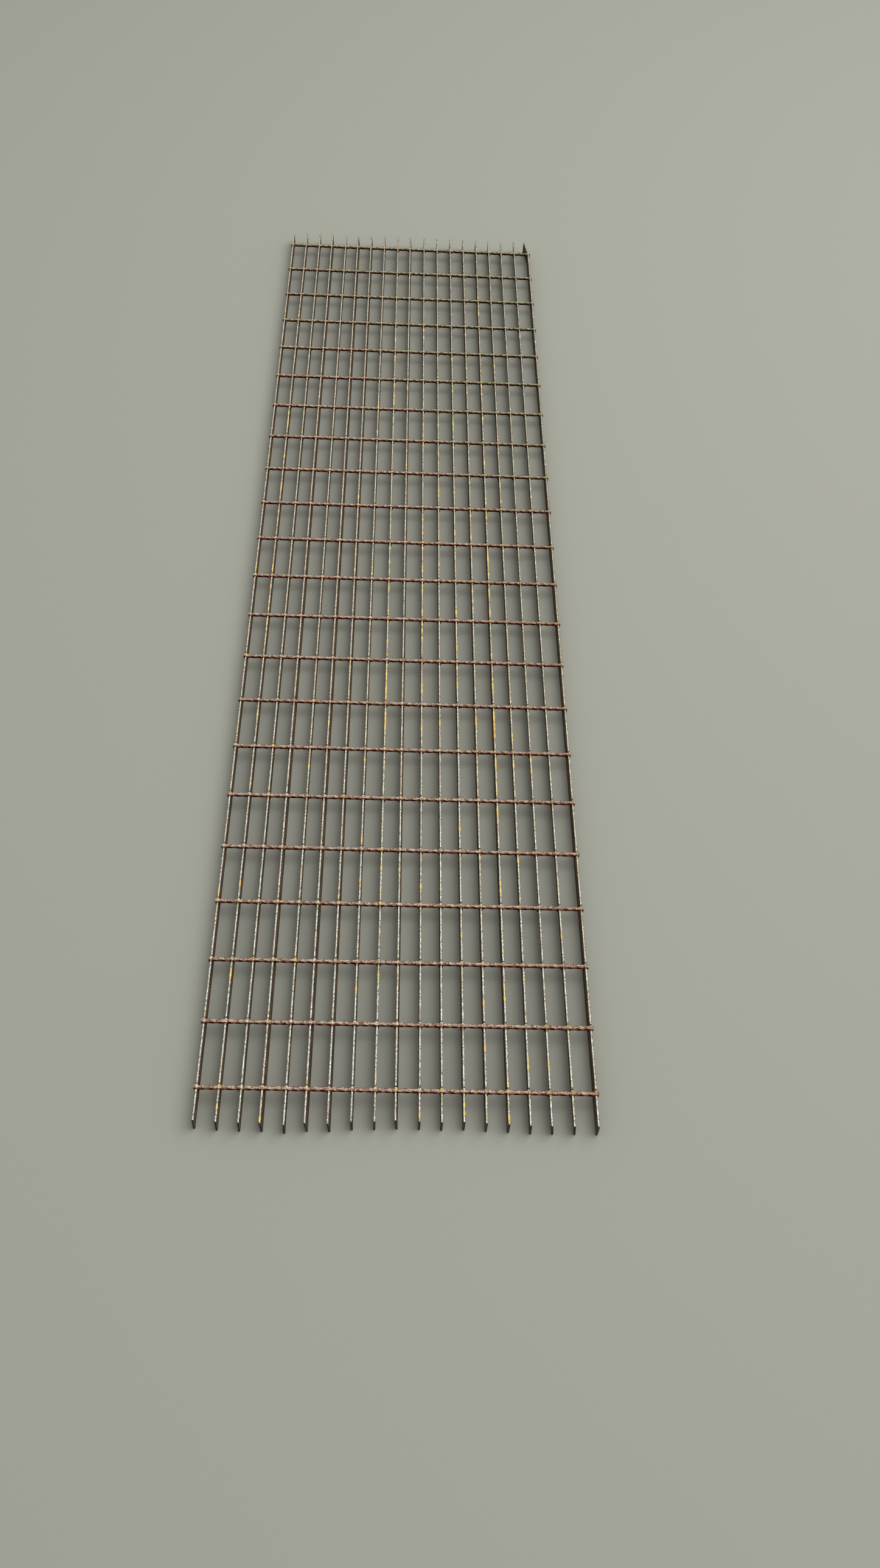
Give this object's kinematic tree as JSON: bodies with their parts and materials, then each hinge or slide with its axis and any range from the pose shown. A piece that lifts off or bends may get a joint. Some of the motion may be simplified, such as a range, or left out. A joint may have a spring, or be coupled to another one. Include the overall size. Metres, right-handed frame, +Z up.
{
  "type": "welded steel bar grating panel",
  "caption": "Flat open walkway grating panel: steel flat bars on edge with twisted cross rods forged flush into their tops, open bar ends, light rust and a bent corner.",
  "frame": {"origin": "under the middle of the panel, on the surface that it lies on", "axes": "+X across the panel to the right, +Y along the bearing bars to the far end, +Z up"},
  "size_m": [0.548, 2.2, 0.025],
  "materials": {
    "bearing_bar": "uncoated hot-rolled flat bar, brown with light rust, top edges worn pale grey",
    "cross_rod": "uncoated twisted square rod, dark red-brown rust"
  },
  "bodies": {
    "root": {"bearing_bar_01": "bearing_bar", "bearing_bar_02": "bearing_bar", "bearing_bar_03": "bearing_bar", "bearing_bar_04": "bearing_bar", "bearing_bar_05": "bearing_bar", "bearing_bar_06": "bearing_bar", "bearing_bar_07": "bearing_bar", "bearing_bar_08": "bearing_bar", "bearing_bar_09": "bearing_bar", "bearing_bar_10": "bearing_bar", "bearing_bar_11": "bearing_bar", "bearing_bar_12": "bearing_bar", "bearing_bar_13": "bearing_bar", "bearing_bar_14": "bearing_bar", "bearing_bar_15": "bearing_bar", "bearing_bar_16": "bearing_bar", "bearing_bar_17": "bearing_bar", "bearing_bar_18": "bearing_bar", "bearing_bar_19": "bearing_bar", "cross_rod_01": "cross_rod", "cross_rod_02": "cross_rod", "cross_rod_03": "cross_rod", "cross_rod_04": "cross_rod", "cross_rod_05": "cross_rod", "cross_rod_06": "cross_rod", "cross_rod_07": "cross_rod", "cross_rod_08": "cross_rod", "cross_rod_09": "cross_rod", "cross_rod_10": "cross_rod", "cross_rod_11": "cross_rod", "cross_rod_12": "cross_rod", "cross_rod_13": "cross_rod", "cross_rod_14": "cross_rod", "cross_rod_15": "cross_rod", "cross_rod_16": "cross_rod", "cross_rod_17": "cross_rod", "cross_rod_18": "cross_rod", "cross_rod_19": "cross_rod", "cross_rod_20": "cross_rod", "cross_rod_21": "cross_rod", "cross_rod_22": "cross_rod"}
  },
  "joints": []
}
